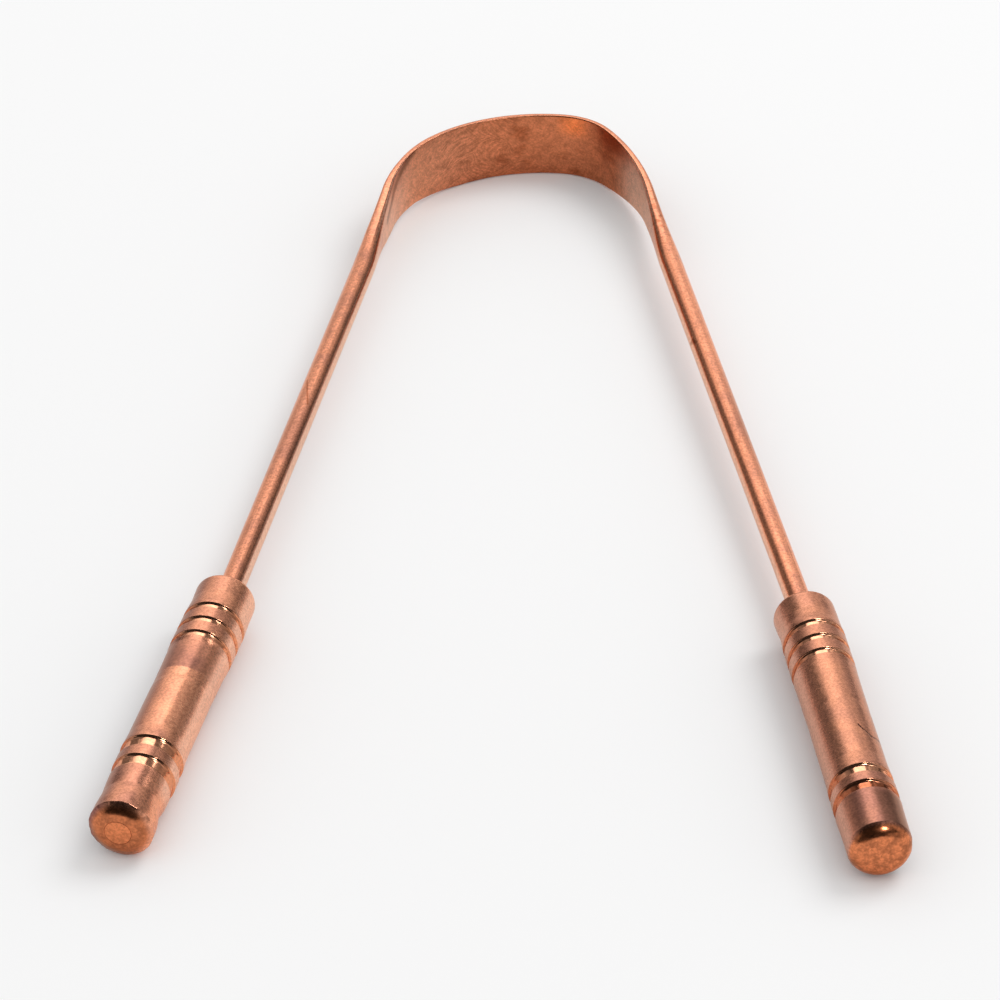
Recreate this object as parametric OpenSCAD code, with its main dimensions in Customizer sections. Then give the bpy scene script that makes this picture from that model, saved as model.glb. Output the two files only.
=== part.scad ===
// Copper tongue scraper with turned grips.
// One drawn rod is flattened in its middle into a scraping strip, bent to a bow,
// and run through a drilled grip at each end. Lying flat: +Y towards the bow,
// +X to the right, +Z up, with the origin under the middle of the object.

/* [Rod] */
// Diameter of the drawn rod
rod_d = 2.8; // [2.2:0.1:3.6]
// Width of the flattened scraping strip
strip_w = 8.6; // [6:0.1:11]

/* [Bow] */
// Centreline radius of the wide bend on the left
wide_bend_r = 20; // [14:0.1:28]
// Angle that the wide bend turns through
wide_bend_angle = 86.2; // [60:0.1:110]
// Centreline radius of the tight bend on the right
tight_bend_r = 8.5; // [6:0.1:14]
// Angle that the tight bend turns through
tight_bend_angle = 48.7; // [20:0.1:50]
// Centreline radius of the easy bend that runs into the right arm
easy_bend_r = 31.3; // [16:0.1:45]
// Length of left arm over which the rod begins to flatten
left_taper_arm = 16.5; // [12:0.1:24]
// Length of bow, from the left arm, at which the strip reaches its full width
left_taper_bow = 11.5; // [8:0.1:22]
// Length of right arm over which the rod begins to flatten
right_taper_arm = 14.8; // [10:0.1:40]
// Length of bow, from the right arm, at which the strip reaches its full width
right_taper_bow = 18; // [8:0.1:22]

/* [Arms] */
// Length of the left arm from the bow to its elbow at the grip
arm_l = 86.9; // [60:0.1:110]
// Length that the right arm has over the left one, as it starts further round the bow
right_arm_extra = 2.4; // [0:0.1:4]
// Angle of the left arm away from the middle line
left_splay = 10.4; // [4:0.1:16]
// Angle of the right arm away from the middle line
right_splay = 9; // [4:0.1:16]
// Angle of the left grip away from the middle line
left_grip_splay = 12.1; // [4:0.1:18]
// Angle of the right grip away from the middle line
right_grip_splay = 7.2; // [4:0.1:18]
// Bare rod between the elbow and the grip
elbow_gap = 1; // [0.5:0.1:5]

/* [Grips] */
// Length of a grip from its inner face to the crown of its end
grip_l = 42; // [38:0.1:55]
// Diameter of the two grooved collars, the thickest part of a grip
collar_d = 7; // [6.9:0.05:9]
// Diameter of the shoulder at the inner face
shoulder_d = 6.86; // [5.5:0.02:6.9]
// Diameter of the neck between the shoulder and the inner collar
neck_d = 6.72; // [5:0.02:6.86]
// Diameter of the barrel between the collars
barrel_d = 6.66; // [5:0.02:6.8]
// Radius that the barrel gains where it nears the inner collar
barrel_swell = 0.06; // [0:0.01:0.1]
// Length over which the barrel swells
barrel_swell_l = 5.5; // [3:0.1:8]
// Diameter of the plain stretch before the end
end_d = 6.8; // [5.5:0.02:6.9]
// Plain land of a collar beyond its first groove, and the last inner one
collar_margin = 0.25; // [0.1:0.05:0.4]
// Length of the slope from a collar down to what is beside it
collar_slope_l = 1.2; // [0.6:0.1:1.5]
// Rounding of the inner shoulder, where the arm goes in
shoulder_r = 0.5; // [0.2:0.05:1.2]
// Radial clearance between the rod and the bore of a grip
bore_clearance = 0.02; // [0.01:0.01:0.1]

/* [Grooves] */
// Distance from the inner face to the middle of the first inner groove
inner_groove_at = 6.05; // [5.5:0.05:8]
// Spacing of the three inner grooves
inner_groove_pitch = 2.6; // [1.8:0.05:3.5]
// Width of an inner groove
inner_groove_w = 0.95; // [0.5:0.05:1.5]
// Depth of an inner groove
inner_groove_depth = 0.26; // [0.1:0.01:0.4]
// Distance from the inner face to the middle of the left grip's first outer groove
left_outer_groove_at = 30.5; // [27:0.05:31]
// Distance from the inner face to the middle of the right grip's first outer groove
right_outer_groove_at = 31.7; // [27:0.05:32]
// Spacing of the left grip's two outer grooves
left_outer_groove_pitch = 3.2; // [2.4:0.05:4]
// Spacing of the right grip's two outer grooves
right_outer_groove_pitch = 2.7; // [2.2:0.05:3.5]
// Width of the left grip's outer grooves
left_outer_groove_w = 1.7; // [0.8:0.05:2.2]
// Width of the right grip's outer grooves
right_outer_groove_w = 1.4; // [0.8:0.05:2]
// Depth of the outer grooves
outer_groove_depth = 0.3; // [0.1:0.01:0.45]
// Length of the left grip's outer collar beyond the middle of its last groove
left_collar_tail = 0; // [0:0.05:1.5]
// Length of the right grip's outer collar beyond the middle of its last groove
right_collar_tail = 1; // [0:0.05:1.5]

/* [Grip ends] */
// Height of the left grip's crowned end beyond its plain stretch
left_end_rise = 1.5; // [1.45:0.05:2]
// Edge rounding of the left grip's end
left_end_edge_r = 1.4; // [0.6:0.05:1.4]
// Height of the right grip's crowned end beyond its plain stretch
right_end_rise = 1.3; // [1.25:0.05:1.8]
// Edge rounding of the right grip's end
right_end_edge_r = 1.2; // [0.6:0.05:1.2]

/* [Hidden] */
$fn = 64;
inner_groove_count = 3;
outer_groove_count = 2;
// Cuts run past the surface by this much
overrun = collar_d;
right_arm_l = arm_l + right_arm_extra;
rod_r = rod_d / 2;
collar_r = collar_d / 2;
shoulder_rim_r = shoulder_d / 2;
neck_r = neck_d / 2;
barrel_r = barrel_d / 2;
end_r = end_d / 2;
bore_r = rod_r + bore_clearance;
rod_colour = [0.80, 0.47, 0.34];
grip_colour = [0.77, 0.45, 0.33];

// The flattened stretch is lofted through sections with this many points
section_points = 24;
loft_steps = 100;
// The round ends of the loft seat just inside the drawn rod, and run this far into it
loft_seat_share = 0.992;
loft_d = rod_d * loft_seat_share;
loft_bury = rod_r;
// The ball that fills each elbow stands this much proud of the rod
elbow_ball_share = 1.01;

// The three bends of the bow turn the rod from the left arm round to the right arm
easy_bend_angle = 180 - left_splay - right_splay - wide_bend_angle - tight_bend_angle;
wide_bend_l = arc_length(wide_bend_r, wide_bend_angle);
tight_bend_l = arc_length(tight_bend_r, tight_bend_angle);
easy_bend_l = arc_length(easy_bend_r, easy_bend_angle);
bow_l = wide_bend_l + tight_bend_l + easy_bend_l;

// Places on the rod's centreline are [x, y, heading], with the heading clockwise from +Y.
// The plan's own zero is where the left arm meets the bow.
wide_bend_start = [0, 0, left_splay];
tight_bend_start = along_bend(wide_bend_start, wide_bend_r, wide_bend_l);
easy_bend_start = along_bend(tight_bend_start, tight_bend_r, tight_bend_l);
bow_end = along_bend(easy_bend_start, easy_bend_r, easy_bend_l);
left_elbow = along_line(wide_bend_start, -arm_l);
right_elbow = along_line(bow_end, right_arm_l);
left_grip_heading = left_grip_splay - 180;
right_grip_heading = 180 - right_grip_splay;
left_tip = grip_tip(left_elbow, left_grip_heading);
right_tip = grip_tip(right_elbow, right_grip_heading);
bow_top_y = wide_bend_r * (1 - sin(left_splay));

// Where each grip's outer collar ends, from the inner face
left_collar_end = collar_end(left_outer_groove_at, left_outer_groove_pitch, left_collar_tail);
right_collar_end = collar_end(right_outer_groove_at, right_outer_groove_pitch, right_collar_tail);

// Thickness of the strip: the rod's metal is spread, not lost
strip_t = flattened_thickness(strip_w);

// The strip's lower edge and the outer collars stand on the same surface
collar_foot_y = right_elbow.y - (elbow_gap + right_collar_end) * cos(right_grip_splay);
strip_foot_y = min(rod_place(left_taper_bow).y, rod_place(bow_l - right_taper_bow).y);
rest_tilt = atan2(strip_w / 2 - collar_r, strip_foot_y - collar_foot_y);
lift = collar_r * cos(rest_tilt) - collar_foot_y * sin(rest_tilt);

// Middle of the plan, from the outermost points of the two grips and of the bow
plan_left = left_tip.x - end_reach(90 - left_grip_splay, left_end_rise, left_end_edge_r);
plan_right = right_tip.x + end_reach(90 - right_grip_splay, right_end_rise, right_end_edge_r);
plan_near = right_tip.y - end_reach(right_grip_splay, right_end_rise, right_end_edge_r);
plan_far = bow_top_y + strip_t / 2;
middle = [(plan_left + plan_right) / 2, (plan_near + plan_far) / 2];

function arc_length(radius, angle) = radius * angle * PI / 180;
function smooth(share) = let (u = min(max(share, 0), 1)) u * u * (3 - 2 * u);

function along_line(place, distance) =
    [
        place.x + distance * sin(place.z),
        place.y + distance * cos(place.z),
        place.z
    ];

function along_bend(place, radius, distance) =
    let (turn = distance / radius * 180 / PI)
    [
        place.x + radius * (cos(place.z) - cos(place.z + turn)),
        place.y + radius * (sin(place.z + turn) - sin(place.z)),
        place.z + turn
    ];

// Place on the centreline, by its distance from the start of the bow
function rod_place(distance) =
    distance < 0 ? along_line(wide_bend_start, distance)
    : distance < wide_bend_l ? along_bend(wide_bend_start, wide_bend_r, distance)
    : distance < wide_bend_l + tight_bend_l
        ? along_bend(tight_bend_start, tight_bend_r, distance - wide_bend_l)
    : distance < bow_l
        ? along_bend(easy_bend_start, easy_bend_r, distance - wide_bend_l - tight_bend_l)
    : along_line(bow_end, distance - bow_l);

// Width of the rod across the bow's plane, by the distance from the start of the bow
function rod_width(distance) =
    let (
        from_left = (distance + left_taper_arm) / (left_taper_arm + left_taper_bow),
        from_right = (bow_l + right_taper_arm - distance) / (right_taper_arm + right_taper_bow)
    )
    loft_d + (strip_w - loft_d) * smooth(min(from_left, from_right));

// A round section rolled out to a flat one with round edges keeps its area:
// t * (w - t) + PI / 4 * t * t = PI / 4 * d * d, solved for t
function flattened_thickness(width) =
    let (corner_loss = 1 - PI / 4)
    (width - sqrt(width * width - 4 * corner_loss * (1 - corner_loss) * loft_d * loft_d))
    / (2 * corner_loss);

// One section of the loft, as points around the rod at that place
function rod_section(distance) =
    let (
        place = rod_place(distance),
        width = rod_width(distance),
        thickness = flattened_thickness(width)
    )
    [
        for (i = [0 : section_points - 1])
        let (
            angle = (i + 0.5) * 360 / section_points,
            out = thickness / 2 * cos(angle),
            up = thickness / 2 * sin(angle) + sign(sin(angle)) * (width - thickness) / 2
        )
        [place.x - cos(place.z) * out, place.y + sin(place.z) * out, up]
    ];

function collar_end(groove_at, groove_pitch, tail) =
    groove_at + (outer_groove_count - 1) * groove_pitch + tail;

// Crown of a grip's end: a large sphere that runs tangent into the rounded edge
function crown_r(rise, edge_r) =
    (pow(end_r - edge_r, 2) + rise * rise - edge_r * edge_r) / (2 * (rise - edge_r));

function grip_tip(elbow, heading) =
    along_line([elbow.x, elbow.y, heading], elbow_gap + grip_l);

// How far a grip's end reaches past its tip, towards a direction at an angle to its axis
function end_reach(angle, rise, edge_r) =
    let (
        ball_r = crown_r(rise, edge_r),
        crown_angle = asin((end_r - edge_r) / (ball_r - edge_r))
    )
    angle <= crown_angle
        ? ball_r * (1 - cos(angle))
        : edge_r - rise * cos(angle) + (end_r - edge_r) * sin(angle);

// Lays a piece that is drawn along +Z down into the plan, pointing away from the bow
module lie_along(place, turn) {
    translate([place.x, place.y, 0]) rotate([90, 0, turn]) children();
}

// Sets the plan down on the surface, with the origin under its middle
module at_rest() {
    translate([-middle.x, -middle.y, lift]) rotate([rest_tilt, 0, 0]) children();
}

// Half profile of the crown at a grip's end, with its rounded edge
module crown_profile(rise, edge_r) {
    ball_r = crown_r(rise, edge_r);
    tangent_r = (end_r - edge_r) * ball_r / (ball_r - edge_r);
    edge_z = grip_l - rise;
    translate([end_r - edge_r, edge_z]) circle(edge_r);
    intersection() {
        translate([0, grip_l - ball_r]) circle(ball_r);
        translate([0, edge_z - edge_r]) square([tangent_r, rise + edge_r]);
    }
}

// Half profile of a turned grip before its grooves: a rounded shoulder that narrows to a neck,
// the inner collar, a barrel that swells a little towards it, the outer collar, and a plain end
module turned_profile(outer_groove_at, outer_groove_w, outer_collar_end, rise) {
    inner_row = (inner_groove_count - 1) * inner_groove_pitch;
    inner_collar_start = inner_groove_at - inner_groove_w / 2 - collar_margin;
    inner_collar_end = inner_groove_at + inner_row + inner_groove_w / 2 + collar_margin;
    outer_collar_start = outer_groove_at - outer_groove_w / 2 - collar_margin;
    polygon([
        [0, 0],
        [shoulder_rim_r, 0],
        [shoulder_rim_r, shoulder_r],
        [neck_r, inner_collar_start - collar_slope_l],
        [collar_r, inner_collar_start],
        [collar_r, inner_collar_end],
        [barrel_r + barrel_swell, inner_collar_end + collar_slope_l],
        [barrel_r, inner_collar_end + collar_slope_l + barrel_swell_l],
        [barrel_r, outer_collar_start - collar_slope_l],
        [collar_r, outer_collar_start],
        [collar_r, outer_collar_end],
        [end_r, outer_collar_end + collar_slope_l],
        [end_r, grip_l - rise],
        [0, grip_l - rise]
    ]);
}

// A row of round-bottomed grooves, as discs that cut the half profile
module groove_cuts(first, pitch, count, width, depth) {
    cutter_r = (width * width / 4 + depth * depth) / (2 * depth);
    for (i = [0 : count - 1])
        translate([collar_r - depth + cutter_r, first + i * pitch]) circle(cutter_r);
}

// What the rounding of the inner shoulder takes off the half profile
module shoulder_cut() {
    difference() {
        translate([shoulder_rim_r - shoulder_r, -overrun]) square([overrun, overrun + shoulder_r]);
        translate([shoulder_rim_r - shoulder_r, shoulder_r]) circle(shoulder_r);
    }
}

// A grip along +Z, grooved and drilled through
module grip(outer_groove_at, outer_groove_pitch, outer_groove_w, outer_collar_end, rise, edge_r) {
    rotate_extrude() difference() {
        union() {
            turned_profile(outer_groove_at, outer_groove_w, outer_collar_end, rise);
            crown_profile(rise, edge_r);
        }
        groove_cuts(inner_groove_at, inner_groove_pitch, inner_groove_count,
            inner_groove_w, inner_groove_depth);
        groove_cuts(outer_groove_at, outer_groove_pitch, outer_groove_count,
            outer_groove_w, outer_groove_depth);
        shoulder_cut();
        translate([0, -overrun]) square([bore_r, grip_l + 2 * overrun]);
    }
}

// The stretch that changes from round to flat, round the bow, and back to round
module flattened_bow() {
    first = -left_taper_arm - loft_bury;
    last = bow_l + right_taper_arm + loft_bury;
    points = [
        for (i = [0 : loft_steps]) each rod_section(first + (last - first) * i / loft_steps)
    ];
    start_cap = [for (j = [0 : section_points - 1]) j];
    end_cap = [for (j = [section_points - 1 : -1 : 0]) loft_steps * section_points + j];
    walls = [
        for (i = [0 : loft_steps - 1], j = [0 : section_points - 1])
        let (
            a = i * section_points + j,
            b = i * section_points + (j + 1) % section_points,
            c = b + section_points,
            d = a + section_points
        )
        each [[a, d, c], [a, c, b]]
    ];
    polyhedron(points, concat([start_cap], walls, [end_cap]));
}

// Round arm from the flattened stretch to the elbow
module arm(place, splay, length, taper_l) {
    lie_along(along_line(place, taper_l), splay) cylinder(r = rod_r, h = length - abs(taper_l));
}

// The elbow, and the rod's end from there through the grip, dressed flush with its crown
module tang(rise, edge_r) {
    sphere(rod_r * elbow_ball_share);
    cylinder(r = rod_r, h = elbow_gap);
    translate([0, 0, elbow_gap]) rotate_extrude() intersection() {
        union() {
            square([rod_r, grip_l - rise]);
            crown_profile(rise, edge_r);
        }
        square([rod_r, grip_l]);
    }
}

module scraper_rod() {
    color(rod_colour) at_rest() {
        flattened_bow();
        arm(wide_bend_start, -left_splay, arm_l, -left_taper_arm);
        arm(bow_end, right_splay, right_arm_l, right_taper_arm);
        lie_along(left_elbow, -left_grip_splay) tang(left_end_rise, left_end_edge_r);
        lie_along(right_elbow, right_grip_splay) tang(right_end_rise, right_end_edge_r);
    }
}

module left_grip() {
    color(grip_colour) at_rest() lie_along(left_elbow, -left_grip_splay)
        translate([0, 0, elbow_gap])
            grip(left_outer_groove_at, left_outer_groove_pitch, left_outer_groove_w,
                left_collar_end, left_end_rise, left_end_edge_r);
}

module right_grip() {
    color(grip_colour) at_rest() lie_along(right_elbow, right_grip_splay)
        translate([0, 0, elbow_gap])
            grip(right_outer_groove_at, right_outer_groove_pitch, right_outer_groove_w,
                right_collar_end, right_end_rise, right_end_edge_r);
}

scraper_rod();
left_grip();
right_grip();
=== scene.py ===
"""Looks of the copper tongue scraper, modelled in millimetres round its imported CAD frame."""
import math

import bpy
import numpy as np
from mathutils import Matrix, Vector, noise


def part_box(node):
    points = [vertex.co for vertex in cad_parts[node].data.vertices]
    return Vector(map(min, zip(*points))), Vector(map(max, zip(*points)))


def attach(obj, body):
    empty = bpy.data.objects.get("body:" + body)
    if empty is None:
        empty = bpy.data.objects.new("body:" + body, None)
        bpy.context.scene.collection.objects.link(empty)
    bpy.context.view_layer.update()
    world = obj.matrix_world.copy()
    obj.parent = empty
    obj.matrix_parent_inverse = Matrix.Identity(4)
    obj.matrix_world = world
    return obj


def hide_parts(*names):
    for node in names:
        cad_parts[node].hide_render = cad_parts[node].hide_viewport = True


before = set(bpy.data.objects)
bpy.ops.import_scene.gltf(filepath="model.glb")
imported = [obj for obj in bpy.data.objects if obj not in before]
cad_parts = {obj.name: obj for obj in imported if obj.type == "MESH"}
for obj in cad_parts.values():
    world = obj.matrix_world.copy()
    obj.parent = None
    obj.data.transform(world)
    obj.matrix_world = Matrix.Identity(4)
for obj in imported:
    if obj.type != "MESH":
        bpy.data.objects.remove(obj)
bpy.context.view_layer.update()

MM = 0.001

# The rod and its bends, as the CAD model has them, in millimetres and degrees
ROD_D = 2.8
STRIP_W = 8.6
WIDE_BEND_R = 20
WIDE_BEND_ANGLE = 86.2
TIGHT_BEND_R = 8.5
TIGHT_BEND_ANGLE = 48.7
EASY_BEND_R = 31.3
LEFT_TAPER_ARM = 16.5
LEFT_TAPER_BOW = 11.5
RIGHT_TAPER_ARM = 14.8
RIGHT_TAPER_BOW = 18
LEFT_ARM_L = 86.9
RIGHT_ARM_L = 89.3
LEFT_SPLAY = 10.4
RIGHT_SPLAY = 9
LEFT_GRIP_SPLAY = 12.1
RIGHT_GRIP_SPLAY = 7.2
ELBOW_GAP = 1

# How square the strip's rolled edges are. In the CAD model they are round, which is 0
EDGE_SQUARENESS = 1.8

# The grips, each along its axis from its inner face. A side holds:
# outer_at, outer_pitch, outer_w: place, spacing and width of its two outer grooves
# rise, edge_r: how far its end stands out past its side, and the radius of the CAD model's edge
# rim: first tilt in degrees, how late it curves, and the radius where the flatter crown takes over
# open_r: the radius that its end leaves open for the tang
# ragged: whether its rim has a ragged lip
# profile: (distance, radius) pairs, which follow the CAD model with the wear of the real grip
# astray: (distance, how far) pairs by which it lies to the right of the CAD model's axis
# tarnish: (distance, share) pairs of its mauve tarnish
# lit_metal, painted_shade_flank: colour of its clean metal and of its left flank, as what they
# reflect: the clean metal painted lighter on the left grip than on the right, as lit and shaded
# copies, and the flank a painted shade of the object's shadow
# painted_shade_flank_range: how far to the right of the axis the flank's painted shade begins, and is
# full
# face_range: range of the mottle, with the least and the most brown on its end
# seed: its place in the noise of its wear
GRIP_L = 42
COLLAR_R = 3.5
SHOULDER_ROUND = 0.5
END_R = 3.4
BORE_R = 1.42
INNER_GROOVES = 3
INNER_GROOVE_AT = 6.05
INNER_GROOVE_PITCH = 2.6
INNER_GROOVE_W = 0.95
INNER_GROOVE_DEPTH = 0.26
OUTER_GROOVES = 2
OUTER_GROOVE_DEPTH = 0.3
RIGHT_COLLAR_TAIL = 1
LEFT = {
    "outer_at": 30.5,
    "outer_pitch": 3.2,
    "outer_w": 1.7,
    "rise": 1.5,
    "edge_r": 1.4,
    "rim": (52, 3, 1.9),
    "open_r": 1.44,
    "ragged": True,
    "profile": [
        (0, 3.4), (3, 3.37), (4.3, 3.44), (5.2, 3.5), (11.5, 3.49), (12.4, 3.38), (15, 3.34),
        (18.7, 3.29), (19.3, 3.33), (27.6, 3.33), (28.4, 3.38), (29.4, 3.46), (33.4, 3.46),
        (34, 3.37), (36, 3.32), (37.5, 3.25), (39, 3.35), (39.8, 3.4), (GRIP_L, 3.4),
    ],
    "astray": [(0, -0.1), (3, 0), (27, -0.04), (32, 0.05), (GRIP_L, 0.1)],
    "tarnish": [
        (0, 0.1), (4, 0.4), (12, 0.55), (14, 0.9), (17.2, 1), (17.35, 0), (27.5, 0.1), (29, 0.5),
        (34, 0.5), (36, 0.55), (GRIP_L, 0.6),
    ],
    "lit_metal": (0.96, 0.405, 0.235),
    "painted_shade_flank": (0.28, 0.118, 0.098),
    "painted_shade_flank_range": (-0.8, -2.4),
    "face_range": (0.4, 0.65, 0.35, 0.85),
    "seed": 1,
}
RIGHT = {
    "outer_at": 31.7,
    "outer_pitch": 2.7,
    "outer_w": 1.4,
    "rise": 1.3,
    "edge_r": 1.2,
    "rim": (24, 1.6, 2.0),
    "open_r": 0.02,
    "ragged": False,
    "profile": [
        (0, 3.43), (1.8, 3.4), (3, 3.36), (4.2, 3.39), (5.2, 3.48), (11.4, 3.49), (12.6, 3.43),
        (15, 3.4), (18.8, 3.37), (19.6, 3.35), (21, 3.37), (28.8, 3.37), (30.6, 3.46), (32, 3.5),
        (35, 3.5), (36.2, 3.46), (38, 3.41), (GRIP_L, 3.4),
    ],
    "astray": [(0, 0), (3, 0.14), (GRIP_L, 0.14)],
    "tarnish": [
        (0, 0.2), (5, 0.45), (12, 0.45), (14, 0.25), (29, 0.25), (31, 0.5), (35, 0.95), (GRIP_L, 1),
    ],
    "lit_metal": (0.76, 0.32, 0.185),
    "painted_shade_flank": (0.48, 0.19, 0.12),
    "painted_shade_flank_range": (-1.5, -2.7),
    "face_range": (0.4, 0.65, 0, 0.85),
    "seed": 2,
}

# How finely the pieces are meshed, as counts of points and steps in millimetres. At least the
# edge share of the rod's points lies on its two edges, fine rings go past a groove by the margin,
# plain rings stop clear of the rim, and rings that agree to so many digits are one
ROD_AROUND = 112
EDGE_SHARE = 0.45
BOW_STEP = 0.3
ARM_STEP = 0.8
GRIP_AROUND = 224
PLAIN_STEP = 0.12
GROOVE_STEP = 0.035
GROOVE_MARGIN = 0.1
STATION_DIGITS = 4
SHOULDER_STEPS = 8
CROWN_STEPS = 26
RIM_STEPS = 30
RIM_CLEAR = 0.05

# The photograph's camera, in millimetres and degrees
LOOK_AT = (0.11, -9.952, 3.952)
CAMERA_ELEVATION = 33.67
CAMERA_DISTANCE = 462.4
FOCAL_PX = 4065
PHOTO_PX = 1000
SENSOR_MM = 36


def smooth(share):
    """Eased step from 0 to 1, for a number or an array"""
    u = np.clip(share, 0, 1)
    return u * u * (3 - 2 * u)


def eased(value, low, high):
    """Eased step from 0 at the low value to 1 at the high one"""
    return smooth((value - low) / (high - low))


# How far apart in the noise two seeds lie
SEED_STEP = (37.1, -11.3, 5.9)


def wave(x, y, z, seed):
    """Smooth noise of about -1 to 1 at a place"""
    start_x, start_y, start_z = SEED_STEP
    return noise.noise(Vector((x + start_x * seed, y + start_y * seed, z + start_z * seed)))


# The rod's centreline, in the plan whose zero is where the left arm meets the bow


def along_line(place, distance):
    """The place, as (x, y, heading), further along a straight"""
    x, y, heading = place
    return (x + distance * math.sin(heading), y + distance * math.cos(heading), heading)


def along_bend(place, radius, distance):
    """The place further along a bend to the right"""
    x, y, heading = place
    turned = heading + distance / radius
    return (
        x + radius * (math.cos(heading) - math.cos(turned)),
        y + radius * (math.sin(turned) - math.sin(heading)),
        turned,
    )


EASY_BEND_ANGLE = 180 - LEFT_SPLAY - RIGHT_SPLAY - WIDE_BEND_ANGLE - TIGHT_BEND_ANGLE
WIDE_BEND_L = WIDE_BEND_R * math.radians(WIDE_BEND_ANGLE)
TIGHT_BEND_L = TIGHT_BEND_R * math.radians(TIGHT_BEND_ANGLE)
EASY_BEND_L = EASY_BEND_R * math.radians(EASY_BEND_ANGLE)
BOW_L = WIDE_BEND_L + TIGHT_BEND_L + EASY_BEND_L

WIDE_START = (0, 0, math.radians(LEFT_SPLAY))
TIGHT_START = along_bend(WIDE_START, WIDE_BEND_R, WIDE_BEND_L)
EASY_START = along_bend(TIGHT_START, TIGHT_BEND_R, TIGHT_BEND_L)
BOW_END = along_bend(EASY_START, EASY_BEND_R, EASY_BEND_L)
LEFT_ELBOW = along_line(WIDE_START, -LEFT_ARM_L)
RIGHT_ELBOW = along_line(BOW_END, RIGHT_ARM_L)
LEFT_GRIP_HEADING = math.radians(LEFT_GRIP_SPLAY - 180)
RIGHT_GRIP_HEADING = math.radians(180 - RIGHT_GRIP_SPLAY)
LEFT_TIP_AT = -(LEFT_ARM_L + ELBOW_GAP + GRIP_L)
RIGHT_TIP_AT = BOW_L + RIGHT_ARM_L + ELBOW_GAP + GRIP_L


def rod_place(distance):
    """Place on the centreline, from the left tang through the bow to the right tang"""
    if distance < -LEFT_ARM_L:
        elbow = (LEFT_ELBOW[0], LEFT_ELBOW[1], LEFT_GRIP_HEADING + math.pi)
        return along_line(elbow, distance + LEFT_ARM_L)
    if distance < 0:
        return along_line(WIDE_START, distance)
    if distance < WIDE_BEND_L:
        return along_bend(WIDE_START, WIDE_BEND_R, distance)
    if distance < WIDE_BEND_L + TIGHT_BEND_L:
        return along_bend(TIGHT_START, TIGHT_BEND_R, distance - WIDE_BEND_L)
    if distance < BOW_L:
        return along_bend(EASY_START, EASY_BEND_R, distance - WIDE_BEND_L - TIGHT_BEND_L)
    if distance < BOW_L + RIGHT_ARM_L:
        return along_line(BOW_END, distance - BOW_L)
    elbow = (RIGHT_ELBOW[0], RIGHT_ELBOW[1], RIGHT_GRIP_HEADING)
    return along_line(elbow, distance - BOW_L - RIGHT_ARM_L)


def rod_width(distance):
    """The rod's height at a place: its diameter on the arms, and the strip's width on the bow"""
    from_left = (distance + LEFT_TAPER_ARM) / (LEFT_TAPER_ARM + LEFT_TAPER_BOW)
    from_right = (BOW_L + RIGHT_TAPER_ARM - distance) / (RIGHT_TAPER_ARM + RIGHT_TAPER_BOW)
    return ROD_D + (STRIP_W - ROD_D) * float(smooth(min(from_left, from_right)))


def flattened_thickness(width):
    """Thickness of the flattened rod at a width: the metal is spread, not lost"""
    loss = 1 - math.pi / 4
    root = math.sqrt(max(width * width - 4 * loss * (1 - loss) * ROD_D * ROD_D, 0))
    return (width - root) / (2 * loss)


def rod_section(width, thickness):
    """Points and outward directions round the section, as (out, up) pairs. It is round on the
    arms, and flat with squarish edges on the rolled strip."""
    quarter = ROD_AROUND // 4
    power = 2 / (2 + EDGE_SQUARENESS * (width - ROD_D) / (STRIP_W - ROD_D))
    flat = (width - thickness) / 2
    arc = math.pi * thickness / 4
    arc_share = max(EDGE_SHARE, arc / (arc + flat))
    points, outward = [], []
    for i in range(ROD_AROUND):
        turn, step = divmod(i, quarter)
        share = (step + 0.5) / quarter
        if turn % 2:
            share = 1 - share
        on_arc = (share - (1 - arc_share)) / arc_share
        angle = math.pi / 2 * max(on_arc, 0)
        cosine, sine = math.cos(angle), math.sin(angle)
        up = flat + thickness / 2 * sine**power
        if on_arc < 0:
            up = flat * share / (1 - arc_share)
        side = 1 if turn in (0, 3) else -1
        top = 1 if turn in (0, 1) else -1
        points.append((side * thickness / 2 * cosine**power, top * up))
        normal = Vector((side * cosine ** (2 - power), top * sine ** (2 - power)))
        outward.append(normal.normalized())
    return np.array(points), np.array(outward)


# The plan is tilted to rest on the strip's lower edge and the grips' collars


def rest_tilt():
    """Angle of the line that the strip's edge and the right grip's outer collar rest on"""
    grooves_l = (OUTER_GROOVES - 1) * RIGHT["outer_pitch"]
    collar_end = RIGHT["outer_at"] + grooves_l + RIGHT_COLLAR_TAIL
    reach = (ELBOW_GAP + collar_end) * math.cos(math.radians(RIGHT_GRIP_SPLAY))
    strip_y = min(rod_place(LEFT_TAPER_BOW)[1], rod_place(BOW_L - RIGHT_TAPER_BOW)[1])
    return math.atan2(STRIP_W / 2 - COLLAR_R, strip_y - (RIGHT_ELBOW[1] - reach))


TILT = rest_tilt()


def tilted(points):
    """Points of the plan, turned by the rest tilt, still in millimetres and not yet in place"""
    x, y, z = np.moveaxis(points, -1, 0)
    turned_y = y * math.cos(TILT) - z * math.sin(TILT)
    turned_z = y * math.sin(TILT) + z * math.cos(TILT)
    return np.stack([x, turned_y, turned_z], axis=-1)


def crown_r(end):
    """Radius of the crown, which runs into the round of the edge"""
    inner = END_R - end["edge_r"]
    return (inner**2 + end["rise"] ** 2 - end["edge_r"] ** 2) / (2 * (end["rise"] - end["edge_r"]))


def crown_s(end, radius):
    """Distance from the inner face at which the crown has a radius"""
    ball = crown_r(end)
    return GRIP_L - ball + np.sqrt(ball**2 - np.square(radius))


def placed(name, data):
    """A new object in the scene"""
    made = bpy.data.objects.new(name, data)
    bpy.context.scene.collection.objects.link(made)
    return made


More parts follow.
